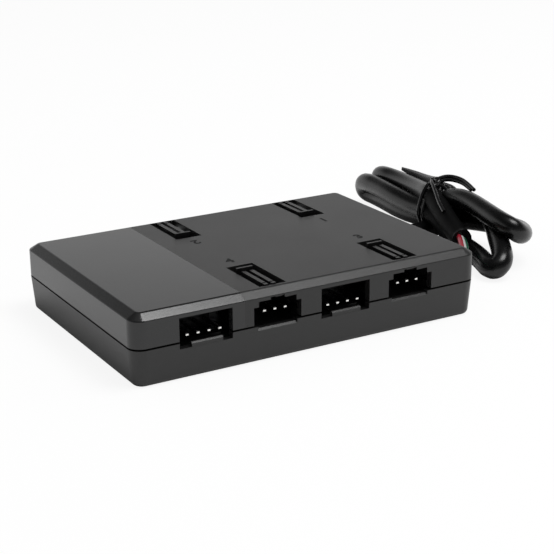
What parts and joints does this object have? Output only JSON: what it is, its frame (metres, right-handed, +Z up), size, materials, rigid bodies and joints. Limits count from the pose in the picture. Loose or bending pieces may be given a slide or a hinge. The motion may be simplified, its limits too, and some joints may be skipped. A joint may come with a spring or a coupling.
{
  "type": "pc fan controller hub",
  "caption": "Flat two-part plastic hub box with fan and latching light sockets along both long sides, and a sleeved cable folded into a tied hank at one end.",
  "frame": {"origin": "centre of the case's underside, on the surface that the hub stands on", "axes": "+X along the long side towards the cable end, +Y towards the rear sockets, +Z up"},
  "size_m": [0.1272, 0.0949, 0.0167],
  "materials": {
    "cover_plastic": "dark grey moulded plastic, finely textured, smoother towards the left end",
    "tray_plastic": "dark grey moulded plastic, finely textured",
    "board_mask": "dark solder mask",
    "screw_steel": "plated steel",
    "header_plastic": "black moulded plastic, satin",
    "pin_metal": "tin plated",
    "chip_epoxy": "black moulding compound",
    "can_aluminium": "drawn can",
    "ceramic_tan": "fired ceramic",
    "resistor_black": "glazed",
    "wire_red": "soft insulation",
    "wire_white": "soft insulation",
    "wire_green": "soft insulation",
    "wire_black": "soft insulation",
    "sleeve_black": "soft black sleeve with a satin gloss",
    "tie_black": "coated wire",
    "plug_plastic": "black moulded plastic"
  },
  "bodies": {
    "root": {"top_cover": "cover_plastic", "bottom_cover": "tray_plastic", "circuit_board": "board_mask", "case_screws": "screw_steel", "fan_header_1": "header_plastic", "fan_pins_1": "pin_metal", "light_header_1": "header_plastic", "light_pins_1": "pin_metal", "fan_header_2": "header_plastic", "fan_pins_2": "pin_metal", "light_header_2": "header_plastic", "light_pins_2": "pin_metal", "fan_header_3": "header_plastic", "fan_pins_3": "pin_metal", "light_header_3": "header_plastic", "light_pins_3": "pin_metal", "fan_header_4": "header_plastic", "fan_pins_4": "pin_metal", "light_header_4": "header_plastic", "light_pins_4": "pin_metal", "controller_chip": "chip_epoxy", "supply_capacitors": "can_aluminium", "transistors": "chip_epoxy", "ceramic_capacitors": "ceramic_tan", "chip_resistors": "resistor_black", "wire_red": "wire_red", "wire_white": "wire_white", "wire_green": "wire_green", "wire_black": "wire_black", "cable_lead": "sleeve_black", "cable_tail": "sleeve_black", "cable_hank": "sleeve_black", "cable_tie": "tie_black", "cable_plug": "plug_plastic", "plug_contacts": "pin_metal"}
  },
  "joints": []
}
